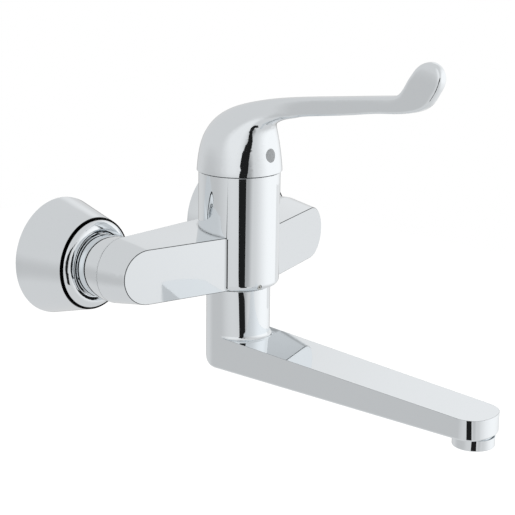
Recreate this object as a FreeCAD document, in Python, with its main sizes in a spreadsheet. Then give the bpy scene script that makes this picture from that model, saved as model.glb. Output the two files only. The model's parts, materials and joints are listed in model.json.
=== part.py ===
import FreeCAD, Part
import Sketcher
import math
import os
import re

# Wall basin mixer with a long elbow lever and a swivel spout.
# Frame: the finished wall is the plane Y = 0 and the mixer stands out along -Y.
# X runs along the wall and Z points up. The origin is midway between the two inlets, at arm height.
# Every length is in millimetres and every angle in degrees.

V = FreeCAD.Vector
doc = FreeCAD.newDocument("wall_basin_mixer")

# Driving dimensions
sizes = {
    # arms and column of the body casting
    "inlet_spacing": 150,
    "seam_reach": 54,
    "body_depth": 27,
    "column_dia": 50,
    "column_top": 53.5,
    "column_foot_lap": 0.35,
    "column_round": 3.5,
    "column_lip": 0.4,
    "arm_face_height": 33.3,
    "arm_face_setback": 3.5,
    "arm_sweep": 15,
    "arm_rim": 0.3,
    "arm_crease": 4,
    "seam_dia": 39.8,
    "web_inset": 8,
    "web_drop": 2,
    "web_round": 5,
    "web_end_gap": 19,
    # clearances, and how far a cut or a joined form runs past a face
    "seam_gap": 0.3,
    "cap_gap": 0.5,
    "neck_gap": 1.1,
    "play": 0.3,
    "slip": 0.05,
    "thread_gap": 0.1,
    "overlap": 1,
    # waterways of the body
    "channel_dia": 10,
    "channel_rise": 3,
    "port_dia": 6,
    "port_offset": 10.8,
    "outlet_dia": 13,
    "outlet_offset": 3.3,
    "spigot_dia": 24,
    "spigot_rise": 12.6,
    "spigot_bore_depth": 13,
    # cartridge
    "chamber_dia": 36,
    "cartridge_wall": 1.5,
    "base_plate": 3.7,
    "base_spigot": 1,
    "disc_thick": 3,
    "disc_gap": 0.4,
    "moving_disc_dia": 22.4,
    "carrier_height": 4.8,
    "bush_height": 10.9,
    "collar_dia": 23,
    "collar_height": 3.8,
    "lid_thick": 2.5,
    "nut_recess": 10.5,
    "nut_thread_dia": 40,
    "nut_hole_dia": 27.8,
    "nut_height": 7,
    "wrench_slot": 3,
    "wrench_depth": 2.5,
    "limiter_height": 2.2,
    "ring_width": 1.4,
    "seal_height": 1.4,
    # tilting stem
    "pivot_rise": 6.7,
    "pin_dia": 3,
    "pin_length": 24,
    "stem_width": 8,
    "stem_end": 8,
    "shoulder_drop": 5,
    "stem_neck_dia": 3,
    "stem_clearance": 1.1,
    "ball_drop": 9,
    "ball_dia": 4.4,
    "lift_angle": 22,
    "shield_gap": 0.75,
    "shield_wall": 1.5,
    "shield_hole_dia": 33,
    "shield_skirt": 3.2,
    # lever
    "cap_overhang": 1.05,
    "cap_lip": 0.65,
    "dome_rise": 40.1,
    "bar_setout": 23.95,
    "bar_climb": 9.85,
    "bar_length": 58,
    "bar_root_depth": 11.3,
    "bar_tip_depth": 9.8,
    "bar_angle": 7.1,
    "bar_thick": 8.6,
    "lobe_length": 42,
    "lobe_thick": 8,
    "screw_rise": 11.8,
    "screw_dia": 5,
    "screw_length": 10,
    "screw_key": 2.5,
    "plug_dia": 8,
    "plug_depth": 2.6,
    "plug_shoulder": 1,
    # spout
    "neck_dia": 39.5,
    "neck_length": 31,
    "neck_lip": 0.4,
    "spout_root_depth": 21,
    "spout_fall": 10.4,
    "spout_tip_depth": 12.1,
    "spout_overhang": 12,
    "spout_tip_width": 32.4,
    "spout_corner": 12,
    "spout_nose": 24,
    "elbow_round": 20,
    "elbow_overhang": 3,
    "spout_under_round": 1.4,
    "throat_round": 2.5,
    "spout_bore_dia": 16,
    "spout_floor": 4,
    "waterway_dia": 5.2,
    "waterway_rise": 3,
    "ring_groove_depth": 1.8,
    "ring_groove_width": 2.1,
    "ring_high_rise": 10.4,
    "ring_low_rise": 7.1,
    "ring_thick": 1.8,
    "slide_ring_inset": 1.15,
    "slide_ring_gap": 1,
    "slide_ring_thick": 1.6,
    "lock_rise": 2.4,
    "lock_dia": 2.7,
    "lock_tip_dia": 2,
    "lock_tip_length": 1.8,
    "lock_bearing": -107,
    "lock_groove_width": 3.6,
    "lock_groove_depth": 1.6,
    "lock_inset": 0.5,
    # aerator
    "aerator_throw": 176,
    "aerator_dia": 24,
    "aerator_collar": 1.4,
    "aerator_thread_length": 4.5,
    "aerator_gap": 0.4,
    "aerator_height": 6.3,
    "aerator_rim": 0.6,
    "aerator_ceiling": 2.1,
    "aerator_wall": 1.1,
    "aerator_lip": 0.7,
    "aerator_lip_height": 1.8,
    "aerator_grid_thick": 2,
    "aerator_hole_dia": 2.2,
    "aerator_hole_pitch": 3.3,
    "insert_wall": 1.3,
    "washer_thick": 1.2,
    "washer_width": 2.1,
    # inlets
    "escutcheon_dia": 72,
    "escutcheon_depth": 32.5,
    "escutcheon_flank": 8.4,
    "escutcheon_lip": 1.1,
    "escutcheon_mouth_gap": 0.6,
    "escutcheon_wall": 1.3,
    "escutcheon_tube": 9,
    "escutcheon_foot": 3.4,
    "escutcheon_rim": 1,
    "escutcheon_land": 1.6,
    "escutcheon_crown": 8,
    "escutcheon_crown_rise": 2.7,
    "escutcheon_groove": 1,
    "escutcheon_groove_depth": 1.2,
    "escutcheon_line": 0.8,
    "nut_neck_dia": 37.4,
    "nut_neck_length": 20.6,
    "nut_skirt_dia": 38.6,
    "nut_skirt_length": 11,
    "nut_step": 0.15,
    "nut_length": 37,
    "nut_flats": 32,
    "nut_bevel": 0.2,
    "nipple_thread_dia": 18.2,
    "nipple_depth": 12,
    "nipple_dia": 19,
    "nipple_bore_dia": 13,
    "nipple_tail": 17.9,
    "nipple_collar_thick": 3.5,
    "nipple_collar_gap": 0.32,
    "inlet_seal_thick": 1.9,
    "union_thread_dia": 26.44,
    "union_thread_length": 13.5,
    "union_offset": 8,
    "union_bend": 12,
    "union_shoulder": 0.8,
    "union_bore_dia": 14,
    "pipe_thread_dia": 20.96,
    "pipe_thread_length": 15,
    "pipe_bore_dia": 13,
}

# Sizes that follow from others, so that pieces that meet stay together
derived = {
    "axis_reach": "seam_reach + body_depth",
    "arm_face_reach": "axis_reach - arm_face_setback",
    "column_drop": "arm_face_height / 2 + column_foot_lap",
    "web_reach": "seam_reach - web_inset",
    "web_span": "inlet_spacing - 2 * web_end_gap",
    # the cartridge hangs from the nut's seat, so its stack is worked out from the top down
    "nut_seat": "column_top - nut_recess",
    "nut_top": "nut_seat + slip + nut_height",
    "bush_top": "nut_seat - lid_thick - play",
    "bush_floor": "bush_top - bush_height",
    "collar_top": "bush_top + collar_height",
    "carrier_top": "bush_floor - play",
    "carrier_floor": "carrier_top - carrier_height",
    "moving_top": "carrier_floor - slip",
    "moving_floor": "moving_top - disc_thick",
    "fixed_top": "moving_floor - slip",
    "fixed_floor": "fixed_top - disc_thick",
    "base_top": "fixed_floor - thread_gap",
    "base_floor": "base_top - base_spigot - base_plate",
    "chamber_floor": "base_floor - play",
    "cartridge_dia": "chamber_dia - 2 * play",
    "bush_dia": "cartridge_dia - 2 * cartridge_wall - 2 * disc_gap",
    "fixed_disc_dia": "bush_dia",
    # stem and lever
    "pivot_height": "bush_floor + pivot_rise",
    "stem_shoulder": "pivot_height - shoulder_drop",
    "ball_height": "pivot_height - ball_drop",
    "cap_base": "column_top + cap_gap",
    "cap_dia": "column_dia + 2 * cap_overhang",
    "cap_inner_dia": "cap_dia - 2 * cap_lip",
    "cavity_radius": "sqrt((cap_inner_dia / 2) ^ 2 + (column_top - pivot_height) ^ 2)",
    "shield_radius": "cavity_radius - shield_gap",
    "screw_height": "cap_base + screw_rise",
    "stem_top": "screw_height + stem_end",
    "bar_root_reach": "cap_dia / 2 + bar_setout",
    "bar_reach": "bar_root_reach + bar_length",
    "bar_root_crown": "dome_rise + bar_climb",
    # spout and aerator
    "neck_top": "-(column_drop + neck_gap)",
    "aerator_reach": "axis_reach + aerator_throw",
    "spout_reach": "aerator_reach + spout_overhang",
    "spout_top_root": "column_drop + neck_length",
    "spout_under_root": "spout_top_root + spout_root_depth",
    "spout_top_tip": "spout_top_root + spout_fall",
    "spout_under_tip": "spout_top_tip + spout_tip_depth",
    "spout_bore_floor": "spout_under_root - spout_floor",
    "waterway_drop": "spout_bore_floor - waterway_rise",
    "ring_groove_high": "column_drop - ring_high_rise",
    "ring_groove_low": "column_drop - ring_low_rise",
    "lock_drop": "column_drop - lock_rise",
    "slide_ring_dia": "neck_dia - 2 * slide_ring_inset",
    "slide_ring_hole": "spigot_dia + 2 * slide_ring_gap",
    "aerator_top": "spout_under_tip - aerator_thread_length",
    "aerator_roof": "spout_top_tip + aerator_ceiling",
    "aerator_collar_top": "spout_under_tip + aerator_gap",
    "aerator_bottom": "aerator_collar_top + aerator_height",
    "aerator_thread_dia": "aerator_dia - 2 * aerator_collar",
    "aerator_bore_dia": "aerator_thread_dia - 2 * aerator_wall",
    "aerator_lip_dia": "aerator_bore_dia - 2 * aerator_lip",
    "washer_hole_dia": "aerator_thread_dia - 2 * washer_width",
    "washer_floor": "-aerator_top + slip",
    "washer_top": "washer_floor + washer_thick",
    # inlets
    "nut_neck_reach": "seam_reach - nut_neck_length",
    "nut_back_reach": "seam_reach - nut_length",
    "nut_skirt_reach": "seam_reach - nut_skirt_length",
    "nipple_collar_reach": "seam_reach - nipple_tail",
    "nipple_end_reach": "nipple_collar_reach - nipple_collar_thick",
    "nipple_collar_dia": "union_thread_dia - 2 * nipple_collar_gap",
    "union_front": "nipple_end_reach - inlet_seal_thick - 2 * slip",
    "bend_front": "union_front - union_thread_length",
    "bend_back": "bend_front - union_bend",
    "escutcheon_mouth_dia": "nut_neck_dia + 2 * escutcheon_mouth_gap",
    "escutcheon_line_dia": "escutcheon_mouth_dia + 2 * escutcheon_lip",
    "escutcheon_ring_dia": "escutcheon_dia - 2 * escutcheon_flank",
}

sheet = doc.addObject("Spreadsheet::Sheet", "Sizes")
for row, (word, entry) in enumerate({**sizes, **derived}.items(), start=1):
    sheet.set(f"A{row}", word)
    sheet.set(f"B{row}", f"={entry}" if word in derived else str(entry))
    sheet.setAlias(f"B{row}", word)
doc.recompute()


# Helpers that tie a formula of size names to the sheet

NAMES = sizes.keys() | derived.keys()


def bound(formula):
    """The formula with each size name pointing at its cell."""
    return re.sub(r"[a-z_]+", lambda word: "Sizes." + word[0] if word[0] in NAMES else word[0], formula)


def value(formula):
    """The formula's present value as a plain number."""
    return float(sheet.evalExpression(bound(formula)))


def bind(thing, setting, formula):
    thing.setExpression(setting, bound(formula))


# Formulas that several pieces share
INLET_X = {"left": "-inlet_spacing / 2", "right": "inlet_spacing / 2"}
SIDE = {"left": -1, "right": 1}
AXIS_Y = "-axis_reach"
FACE_TILT = {"left": "-arm_sweep", "right": "arm_sweep"}


def arc_centre(start, end, radius):
    """Centre of the short arc from start to end; a positive radius turns to the left."""
    chord = end - start
    half = chord.Length / 2
    rise = math.sqrt(max(radius * radius - half * half, 0.0))
    across = V(-chord.y, chord.x, 0).normalize() * math.copysign(rise, radius)
    return (start + end) * 0.5 + across


def outline(sketch, points):
    """A closed outline of points (across, up) or (across, up, radius of the arc to the next point).

    The radius "half" makes a half circle that turns to the left about the middle between the points.
    """
    spots = [V(value(point[0]), value(point[1]), 0) for point in points]
    first = sketch.GeometryCount
    ends = []
    for index, point in enumerate(points):
        start = spots[index]
        end = spots[(index + 1) % len(spots)]
        if len(point) == 2:
            sketch.addGeometry(Part.LineSegment(start, end), False)
            ends.append((1, 2))
            continue
        if point[2] == "half":
            radius = (end - start).Length / 2
        else:
            radius = value(point[2])
        centre = arc_centre(start, end, radius)
        if radius > 0:
            begin, finish = start - centre, end - centre
            ends.append((1, 2))
        else:
            begin, finish = end - centre, start - centre
            ends.append((2, 1))
        circle = Part.Circle(centre, V(0, 0, 1), abs(radius))
        begin_angle = math.atan2(begin.y, begin.x)
        finish_angle = math.atan2(finish.y, finish.x)
        if finish_angle < begin_angle:
            finish_angle += 2 * math.pi
        sketch.addGeometry(Part.ArcOfCircle(circle, begin_angle, finish_angle), False)
    for index in range(len(points)):
        following = (index + 1) % len(points)
        sketch.addConstraint(Sketcher.Constraint(
            "Coincident", first + index, ends[index][1], first + following, ends[following][0]))
    for index, point in enumerate(points):
        corner = (-1, 1, first + index, ends[index][0])
        across = sketch.addConstraint(Sketcher.Constraint("DistanceX", *corner, spots[index].x))
        sketch.setExpression(f"Constraints[{across}]", bound(point[0]))
        up = sketch.addConstraint(Sketcher.Constraint("DistanceY", *corner, spots[index].y))
        sketch.setExpression(f"Constraints[{up}]", bound(point[1]))
        if len(point) == 3 and point[2] == "half":
            middle = sketch.addConstraint(
                Sketcher.Constraint("DistanceX", -1, 1, first + index, 3, spots[index].x))
            sketch.setExpression(f"Constraints[{middle}]", bound(point[0]))
        elif len(point) == 3:
            size = sketch.addConstraint(
                Sketcher.Constraint("Radius", first + index, abs(value(point[2]))))
            sketch.setExpression(f"Constraints[{size}]", bound(point[2].lstrip("-")))


def circle_outline(sketch, across, up, radius):
    """A full circle about a point of the sketch."""
    centre = V(value(across), value(up), 0)
    index = sketch.addGeometry(Part.Circle(centre, V(0, 0, 1), value(radius)), False)
    for kind, formula, present in (("DistanceX", across, centre.x), ("DistanceY", up, centre.y)):
        number = sketch.addConstraint(Sketcher.Constraint(kind, -1, 1, index, 3, present))
        sketch.setExpression(f"Constraints[{number}]", bound(formula))
    number = sketch.addConstraint(Sketcher.Constraint("Radius", index, value(radius)))
    sketch.setExpression(f"Constraints[{number}]", bound(radius))


def new_body(label):
    body = doc.addObject("PartDesign::Body", label)
    body.Label = label
    return body


def sketch_on(body, name, role, offset=("0", "0", "0"), turn=None):
    """A sketch on one of the body's own origin planes, shifted and turned by formulas."""
    sketch = body.newObject("Sketcher::SketchObject", name)
    plane = [feature for feature in body.Origin.OriginFeatures if feature.Role == role][0]
    sketch.AttachmentSupport = [(plane, "")]
    sketch.MapMode = "FlatFace"
    if turn:
        about, angle = turn
        sketch.AttachmentOffset = FreeCAD.Placement(V(0, 0, 0), FreeCAD.Rotation(about, value(angle)))
        bind(sketch, "AttachmentOffset.Rotation.Angle", angle)
    for letter, formula in zip("xyz", offset):
        if formula != "0":
            bind(sketch, f"AttachmentOffset.Base.{letter}", formula)
    return sketch


def column_sketch(body, name):
    """Across is the radius from the column's axis and up is Z."""
    return sketch_on(body, name, "XZ_Plane", ("0", "0", "axis_reach"))


def inlet_sketch(body, name, side):
    """Across is the radius from an inlet's axis and up is Y."""
    return sketch_on(body, name, "XY_Plane", (INLET_X[side], "0", "0"))


def bearing_sketch(body, name, height, bearing):
    """Across runs out from the column's axis along a bearing, at one height."""
    return sketch_on(body, name, "XY_Plane", ("0", AXIS_Y, height), (V(0, 0, 1), bearing))


def revolve(body, sketch, name, axis="V_Axis", kind="PartDesign::Revolution"):
    feature = body.newObject(kind, name)
    feature.Profile = sketch
    feature.ReferenceAxis = (sketch, [axis])
    feature.Angle = 360
    return feature


def turned(label, points, side=None):
    """A piece turned about the column's axis, or about an inlet's axis when a side is given."""
    body = new_body(label)
    sketch = inlet_sketch(body, label + "_profile", side) if side else column_sketch(body, label + "_profile")
    outline(sketch, points)
    revolve(body, sketch, label + "_turning")
    return body


DIRECTIONS = {
    "up": FreeCAD.Rotation(),
    "forward": FreeCAD.Rotation(V(1, 0, 0), 90),
    "back": FreeCAD.Rotation(V(1, 0, 0), -90),
    "right": FreeCAD.Rotation(V(0, 1, 0), 90),
}


def primitive(body, kind, name, place, direction="up", **settings):
    """One of the body's own cylinders, boxes or spheres, added or cut away."""
    feature = body.newObject("PartDesign::" + kind, name)
    feature.Placement = FreeCAD.Placement(V(0, 0, 0), DIRECTIONS[direction])
    for setting, formula in settings.items():
        bind(feature, setting, formula)
    for letter, formula in zip("xyz", place):
        bind(feature, f"Placement.Base.{letter}", formula)
    return feature


def centred_box(body, kind, name, x, y, floor, wide, deep, tall):
    """A box centred on (x, y) that stands on a floor height."""
    corner = (f"{x} - ({wide}) / 2", f"{y} - ({deep}) / 2", floor)
    return primitive(body, kind, name, corner, Length=wide, Width=deep, Height=tall)


def loft(body, name, sketches):
    feature = body.newObject("PartDesign::AdditiveLoft", name)
    feature.Profile = sketches[0]
    feature.Sections = sketches[1:]
    return feature


def pad(body, sketch, name, length, both_sides=False):
    feature = body.newObject("PartDesign::Pad", name)
    feature.Profile = sketch
    feature.SideType = "Symmetric" if both_sides else "One side"
    bind(feature, "Length", length)
    return feature


def pocket(body, sketch, name, length, reversed_way=False):
    feature = body.newObject("PartDesign::Pocket", name)
    feature.Profile = sketch
    feature.Reversed = reversed_way
    bind(feature, "Length", length)
    return feature


def edge_names(feature, test):
    return [f"Edge{number}" for number, edge in enumerate(feature.Shape.Edges, start=1) if test(edge)]


def round_edges(body, base, name, radius, test):
    """A fillet on the edges of the base that pass the test."""
    doc.recompute()
    feature = body.newObject("PartDesign::Fillet", name)
    feature.Base = (base, edge_names(base, test))
    bind(feature, "Radius", radius)
    doc.recompute()
    return feature


# How near a point has to be to count as on a face
SLACK = 0.05


def flat_at(edge, letter, height):
    """Whether the whole edge lies at one coordinate."""
    box = edge.BoundBox
    low = getattr(box, letter + "Min")
    high = getattr(box, letter + "Max")
    return abs(low - height) < SLACK and abs(high - height) < SLACK


# Body casting: column, two swept arms, and the web that joins them behind

def arm_section(side, sketch, height, length):
    """Half a stadium whose round end is centred on the inlet's axis."""
    top, foot = f"{height} / 2", f"-{height} / 2"
    if side == "left":
        outline(sketch, [(length, foot), (length, top), ("0", top, "half"), ("0", foot)])
    else:
        outline(sketch, [("-" + length, top), ("-" + length, foot), ("0", foot, "half"), ("0", top)])


def arm(body, side):
    """A swept arm: a fine chamfer round the flat face, then a block that widens back to the union's seam."""
    level = "inlet_spacing / 2"
    tilt = (V(0, 1, 0), FACE_TILT[side])
    length = f"({level} / cos(arm_sweep))"
    face = sketch_on(body, f"{side}_arm_face", "XZ_Plane", (INLET_X[side], "0", "arm_face_reach"), tilt)
    arm_section(side, face, "(arm_face_height - 2 * arm_rim)", length)
    rim = sketch_on(body, f"{side}_arm_rim", "XZ_Plane",
                    (INLET_X[side], "0", "arm_face_reach - arm_rim"), tilt)
    arm_section(side, rim, "arm_face_height", length)
    back = sketch_on(body, f"{side}_arm_back", "XZ_Plane", (INLET_X[side], "0", "seam_reach"))
    arm_section(side, back, "seam_dia", f"({level})")
    for name, sections in (("arm", [rim, back]), ("arm_chamfer", [face, rim])):
        block = loft(body, f"{side}_{name}", sections)
        block.Ruled = True
        doc.recompute()


def is_arm_crease(edge):
    """Whether an edge is the upright line where an arm's flat face runs into the column."""
    spot = edge.CenterOfMass
    on_column = abs(math.hypot(spot.x, spot.y + value("axis_reach")) - value("column_dia / 2")) < SLACK
    ahead = spot.y < -value("axis_reach + column_round")
    return on_column and ahead and edge.BoundBox.XLength < SLACK and edge.BoundBox.YLength < SLACK


def mixer_body():
    body = new_body("mixer_body")
    column = primitive(body, "AdditiveCylinder", "column", ("0", AXIS_Y, "-column_drop"),
                       Radius="column_dia / 2", Height="column_top + column_drop")
    foot = round_edges(body, column, "column_foot", "column_round",
                       lambda edge: flat_at(edge, "Z", -value("column_drop")))
    round_edges(body, foot, "column_edge", "column_lip",
                lambda edge: flat_at(edge, "Z", value("column_top")))
    for side in SIDE:
        arm(body, side)
    web = sketch_on(body, "web_section", "YZ_Plane")
    half = "(seam_dia / 2)"
    outline(web, [
        ("-(seam_reach + web_round)", f"{half} - web_round"),
        ("-seam_reach", f"{half} - web_drop"),
        ("-(web_reach + web_round)", f"{half} - web_drop", "-web_round"),
        ("-web_reach", f"{half} - web_drop - web_round"),
        ("-web_reach", f"web_drop + web_round - {half}", "-web_round"),
        ("-(web_reach + web_round)", f"web_drop - {half}"),
        ("-seam_reach", f"web_drop - {half}"),
        ("-(seam_reach + web_round)", f"web_round - {half}"),
    ])
    joined = pad(body, web, "web", "web_span", both_sides=True)
    round_edges(body, joined, "arm_creases", "arm_crease", is_arm_crease)
    for side in SIDE:
        primitive(body, "SubtractiveCylinder", f"{side}_nut_room",
                  (INLET_X[side], "-seam_reach", "0"), "back",
                  Radius="seam_dia / 2 + play", Height="seam_reach")
        primitive(body, "SubtractiveCylinder", f"{side}_inlet_thread",
                  (INLET_X[side], "-(seam_reach - slip)", "0"), "forward",
                  Radius="nipple_thread_dia / 2 + thread_gap", Height="nipple_depth + thread_gap")
        channel = bearing_sketch(body, f"{side}_channel_section", "channel_rise", FACE_TILT[side])
        sign = "-" if side == "left" else ""
        near = f"{sign}(port_offset - port_dia / 2 + slip)"
        far = f"{sign}(inlet_spacing / 2 / cos(arm_sweep))"
        outline(channel, [(near, "0"), (far, "0"), (far, "channel_dia / 2"), (near, "channel_dia / 2")])
        revolve(body, channel, f"{side}_channel", "H_Axis", "PartDesign::Groove")
        primitive(body, "SubtractiveCylinder", f"{side}_port",
                  (port_x(side), PORT_Y, "channel_rise"),
                  Radius="port_dia / 2", Height="chamber_floor - channel_rise + slip")
    spigot_roof = "-(column_drop - spigot_bore_depth)"
    cuts = {
        "chamber": ("chamber_dia / 2", "chamber_floor", "column_top"),
        "nut_thread": ("nut_thread_dia / 2", "nut_seat", "column_top + slip"),
        "outlet": ("outlet_dia / 2", f"{spigot_roof} - slip", "chamber_floor + slip"),
        "spigot_bore": ("spigot_dia / 2 + slip", "-(column_drop + slip)", spigot_roof),
        "slide_ring_recess": ("slide_ring_dia / 2 + play", "-(column_drop + slip)",
                              "-(column_drop + neck_gap - slip - slide_ring_thick - slip)"),
        "neck_relief": ("neck_dia / 2 + 2 * play", "-seam_dia", "-column_drop"),
    }
    for name, (radius, low, high) in cuts.items():
        primitive(body, "SubtractiveCylinder", name, ("0", AXIS_Y, low),
                  Radius=radius, Height=f"({high}) - ({low})")
    lock = bearing_sketch(body, "lock_hole_section", "-lock_drop", "lock_bearing")
    hole = "lock_dia / 2 + thread_gap"
    inside, outside = "spigot_dia / 2 - overlap", "column_dia / 2 + overlap"
    outline(lock, [(inside, "0"), (outside, "0"), (outside, hole), (inside, hole)])
    revolve(body, lock, "lock_hole", "H_Axis", "PartDesign::Groove")
    return body


def port_x(side):
    return ("-" if side == "left" else "") + "port_offset * cos(arm_sweep)"


PORT_Y = "-axis_reach + port_offset * sin(arm_sweep)"
OUTLET_Y = "-axis_reach - outlet_offset"


# Inlets: escutcheon, union nut, nipple, seal and eccentric union on each side

def escutcheon(side):
    rim = "escutcheon_dia / 2"
    ring = "escutcheon_ring_dia / 2"
    line = "escutcheon_line_dia / 2"
    mouth = "escutcheon_mouth_dia / 2"
    wall = "escutcheon_wall"
    front = "-escutcheon_depth"
    deep = "escutcheon_groove_depth"
    crown = "(-escutcheon_depth - escutcheon_crown_rise)"
    return turned(f"escutcheon_{side}", [
        (f"{rim} - escutcheon_foot", "0"),
        (f"{rim} - escutcheon_rim", "0", "-escutcheon_rim"),
        (rim, "-escutcheon_rim"),
        (rim, "-escutcheon_land"),
        (f"{ring} + escutcheon_groove / 2", f"{front} + {deep} / 2"),
        (f"{ring} + escutcheon_groove / 6", f"{front} + 3 * {deep} / 2"),
        (f"{ring} - escutcheon_groove / 2", f"{front} + 3 * {deep} / 2"),
        (f"{ring} - escutcheon_groove / 2", f"{front} + {deep} / 4", "-escutcheon_crown"),
        (f"{line} + escutcheon_line / 2", crown),
        (f"{line} + escutcheon_line / 4", f"{crown} + escutcheon_line"),
        (f"{line} - escutcheon_line / 2", f"{crown} + escutcheon_line"),
        (f"{line} - escutcheon_line / 2", f"{crown} + escutcheon_line / 4"),
        (f"{mouth} + escutcheon_line / 4", f"{crown} + escutcheon_line / 4"),
        (mouth, f"{crown} + escutcheon_line / 2"),
        (mouth, f"{front} + escutcheon_tube"),
        (f"{mouth} + {wall}", f"{front} + escutcheon_tube"),
        (f"{mouth} + {wall}", f"{front} + {wall} / 2"),
        (f"{ring} - {wall}", f"{front} + 2 * {wall}"),
        (f"{rim} - {wall}", "-escutcheon_land"),
        (f"{rim} - escutcheon_foot", f"-{wall}"),
    ], side)


def hexagon(flats, up="0"):
    """Six corners about a point straight above the sketch's origin, by the width across the flats."""
    steps = [(1.0, 0.0), (0.5, 1.0), (-0.5, 1.0), (-1.0, 0.0), (-0.5, -1.0), (0.5, -1.0)]
    return [(f"{across} * {flats} / sqrt(3)", f"{up} + {rise} * {flats} / 2") for across, rise in steps]


def union_nut(side):
    front = "-(seam_reach - seam_gap)"
    label = f"union_nut_{side}"
    body = turned(label, [
        ("nipple_dia / 2 + play", front),
        ("seam_dia / 2 - nut_bevel", front),
        ("seam_dia / 2", f"{front} + nut_bevel"),
        ("nut_skirt_dia / 2", "-nut_skirt_reach"),
        ("nut_skirt_dia / 2 - nut_step", "-nut_skirt_reach"),
        ("nut_neck_dia / 2", "-nut_neck_reach"),
        ("nut_flats / 2 - nut_bevel", "-nut_neck_reach"),
        ("nut_flats / 2 - nut_bevel", "-nut_back_reach"),
        ("union_thread_dia / 2 + thread_gap", "-nut_back_reach"),
        ("union_thread_dia / 2 + thread_gap", "-nipple_collar_reach - thread_gap"),
        ("nipple_dia / 2 + play", "-nipple_collar_reach - thread_gap"),
    ], side)
    flats = sketch_on(body, label + "_flats", "XZ_Plane", (INLET_X[side], "0", "nut_back_reach"))
    outline(flats, hexagon("nut_flats"))
    circle_outline(flats, "0", "0", "union_thread_dia / 2 + overlap")
    pad(body, flats, label + "_hexagon", "nut_neck_reach - nut_back_reach")
    return body


def inlet_nipple(side):
    thread = "nipple_thread_dia / 2"
    bore = "nipple_bore_dia / 2"
    return turned(f"inlet_nipple_{side}", [
        (bore, "-(seam_reach + nipple_depth)"),
        (thread, "-(seam_reach + nipple_depth)"),
        (thread, "-(seam_reach - slip)"),
        ("nipple_dia / 2", "-(seam_reach - slip)"),
        ("nipple_dia / 2", "-nipple_collar_reach"),
        ("nipple_collar_dia / 2", "-nipple_collar_reach"),
        ("nipple_collar_dia / 2", "-nipple_end_reach"),
        (bore, "-nipple_end_reach"),
    ], side)


def inlet_seal(side):
    low = "-nipple_end_reach + slip"
    high = "-nipple_end_reach + slip + inlet_seal_thick"
    return turned(f"inlet_seal_{side}", [
        ("union_bore_dia / 2", low),
        ("nipple_collar_dia / 2", low),
        ("nipple_collar_dia / 2", high),
        ("union_bore_dia / 2", high),
    ], side)


def s_union(side):
    label = f"s_union_{side}"
    thread = "union_thread_dia / 2"
    bore = "union_bore_dia / 2"
    body = turned(label, [
        (bore, "-union_front"),
        (f"{thread} - union_shoulder", "-union_front"),
        (thread, "-union_front + union_shoulder"),
        (thread, "-bend_front"),
        (bore, "-bend_front"),
    ], side)
    fore = sketch_on(body, label + "_bend_front", "XZ_Plane", (INLET_X[side], "0", "bend_front"))
    circle_outline(fore, "0", "0", f"{thread} - union_shoulder / 4")
    rear = sketch_on(body, label + "_bend_back", "XZ_Plane", (INLET_X[side], "-union_offset", "bend_back"))
    circle_outline(rear, "0", "0", "pipe_thread_dia / 2 + union_shoulder")
    loft(body, label + "_bend", [fore, rear])
    primitive(body, "AdditiveCylinder", label + "_pipe_thread",
              (INLET_X[side], "-bend_back", "-union_offset"), "back",
              Radius="pipe_thread_dia / 2", Height="bend_back + pipe_thread_length")
    primitive(body, "SubtractiveCylinder", label + "_front_bore",
              (INLET_X[side], "-bend_front + union_bend / 2", "0"), "forward",
              Radius=bore, Height="union_bend / 2 + union_thread_length + overlap")
    primitive(body, "SubtractiveCylinder", label + "_back_bore",
              (INLET_X[side], "-bend_front + union_bend / 3", "-union_offset"), "back",
              Radius="pipe_bore_dia / 2", Height="bend_front + pipe_thread_length")
    return body


# Cartridge: base, seals, ceramic discs, carrier, turning bush, pin, housing, nut and limiter

def three_ways(body, kind, name, radius, low, high):
    """The same cylinder at the hot port, the cold port and the outlet."""
    spots = {"left": (port_x("left"), PORT_Y), "right": (port_x("right"), PORT_Y), "out": ("0", OUTLET_Y)}
    for way, (x, y) in spots.items():
        primitive(body, kind, f"{name}_{way}", (x, y, low), Radius=radius, Height=f"({high}) - ({low})")


def rings_at_ways(label, low, high):
    """Three separate seals in one node, one round each way."""
    spots = {"left": (port_x("left"), PORT_Y), "right": (port_x("right"), PORT_Y), "out": ("0", OUTLET_Y)}
    rings = []
    for way, (x, y) in spots.items():
        ring = []
        for part, radius in (("outer", "port_dia / 2 + slip + ring_width"), ("inner", "port_dia / 2 + slip")):
            cylinder = doc.addObject("Part::Cylinder", f"{label}_{way}_{part}")
            bind(cylinder, "Radius", radius)
            bind(cylinder, "Height", f"({high}) - ({low})")
            for letter, formula in zip("xyz", (x, y, low)):
                bind(cylinder, f"Placement.Base.{letter}", formula)
            ring.append(cylinder)
        cut = doc.addObject("Part::Cut", f"{label}_{way}")
        cut.Base, cut.Tool = ring
        rings.append(cut)
    group = doc.addObject("Part::Compound", label)
    group.Links = rings
    group.Label = label
    return group


def cartridge_base():
    plate = "base_floor + base_plate"
    body = turned("cartridge_base", [
        ("0", "base_floor"),
        ("cartridge_dia / 2", "base_floor"),
        ("cartridge_dia / 2", plate),
        ("fixed_disc_dia / 2 + play", plate),
        ("fixed_disc_dia / 2 + play", "base_top"),
        ("0", "base_top"),
    ])
    three_ways(body, "SubtractiveCylinder", "base_way", "port_dia / 2", "chamber_floor", "base_top + overlap")
    seat = "port_dia / 2 + ring_width + 2 * slip"
    three_ways(body, "SubtractiveCylinder", "base_seat", seat,
               "chamber_floor", "chamber_floor + slip + seal_height + slip")
    three_ways(body, "SubtractiveCylinder", "disc_seat", seat,
               "base_top - seal_height / 2", "base_top + overlap")
    return body


def base_seals():
    return rings_at_ways("base_seals", "chamber_floor + slip", "chamber_floor + slip + seal_height")


def disc_seals():
    return rings_at_ways("disc_seals", "base_top - seal_height / 2 + slip", "base_top + slip")


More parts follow.
